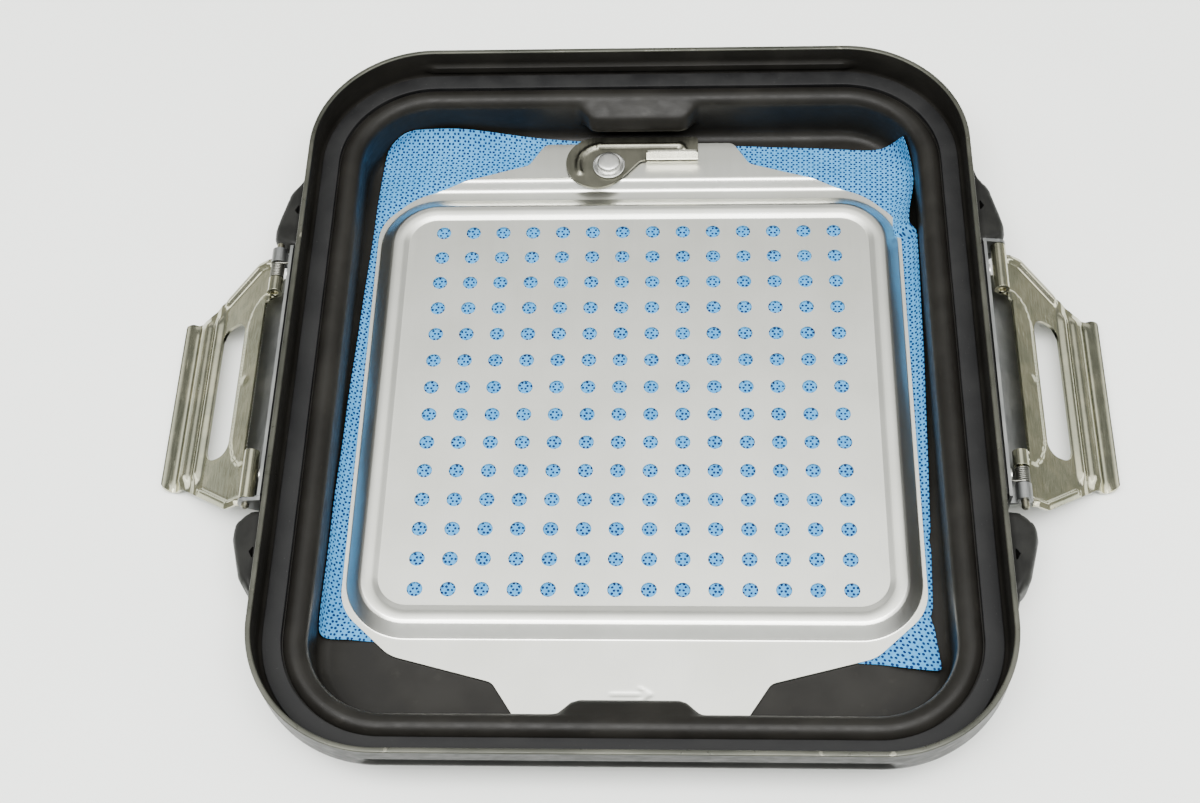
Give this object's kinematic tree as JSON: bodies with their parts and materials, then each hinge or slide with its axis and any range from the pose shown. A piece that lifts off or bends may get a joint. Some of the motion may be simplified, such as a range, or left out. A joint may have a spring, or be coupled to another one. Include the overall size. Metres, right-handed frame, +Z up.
{
  "type": "sterilization container lid",
  "caption": "Rectangular sterilization container lid lying inside-up: rim gasket, filter sheet under a perforated retention plate with a cam lever, and sprung side latches.",
  "frame": {"origin": "on the plane the lid's outer top face lies on, under the middle of the bounding box", "axes": "+Z up out of the open inside, +X across the latches to the right, +Y to the end with the cam lever"},
  "size_m": [0.3736, 0.315, 0.0375],
  "materials": {
    "lid_shell": "dark anodised, satin",
    "rim_gasket": "matte silicone",
    "filter_sheet": "matte, printed with small dark dots",
    "retention_plate": "satin",
    "lock_lever": "dark satin",
    "lock_rivet": "satin",
    "lock_washer": "polished",
    "latch": "polished, warm tint",
    "bracket": "polished",
    "rivets": "satin",
    "pins": "polished",
    "springs": "bright wire",
    "guards": "dark grey, satin"
  },
  "bodies": {
    "lid": {"lid_shell": "lid_shell", "rim_gasket": "rim_gasket", "filter_sheet": "filter_sheet", "retention_plate": "retention_plate", "lock_rivet": "lock_rivet", "lock_washer": "lock_washer", "left_bracket": "bracket", "right_bracket": "bracket", "left_rivets": "rivets", "right_rivets": "rivets", "left_far_pin": "pins", "left_near_pin": "pins", "right_far_pin": "pins", "right_near_pin": "pins", "left_spring": "springs", "right_spring": "springs", "left_far_guard": "guards", "left_near_guard": "guards", "right_far_guard": "guards", "right_near_guard": "guards"},
    "lever": {"lock_lever": "lock_lever"},
    "left_latch_body": {"left_latch": "latch"},
    "right_latch_body": {"right_latch": "latch"}
  },
  "joints": [
    {"name": "lever_turn", "type": "hinge", "parent": "lid", "child": "lever", "pos_m": [-0.0128, 0.1157, 0.0077], "axis": [0, 0, -1], "range_deg": [0, 180]},
    {"name": "left_latch_hinge", "type": "hinge", "parent": "lid", "child": "left_latch_body", "pos_m": [-0.1452, 0, 0.0305], "axis": [0, 1, 0], "range_deg": [0, 126], "stiffness_Nm_per_rad": 0.02, "springref_deg": -22.92},
    {"name": "right_latch_hinge", "type": "hinge", "parent": "lid", "child": "right_latch_body", "pos_m": [0.1452, 0, 0.0305], "axis": [0, -1, 0], "range_deg": [0, 126], "stiffness_Nm_per_rad": 0.02, "springref_deg": -22.92}
  ]
}
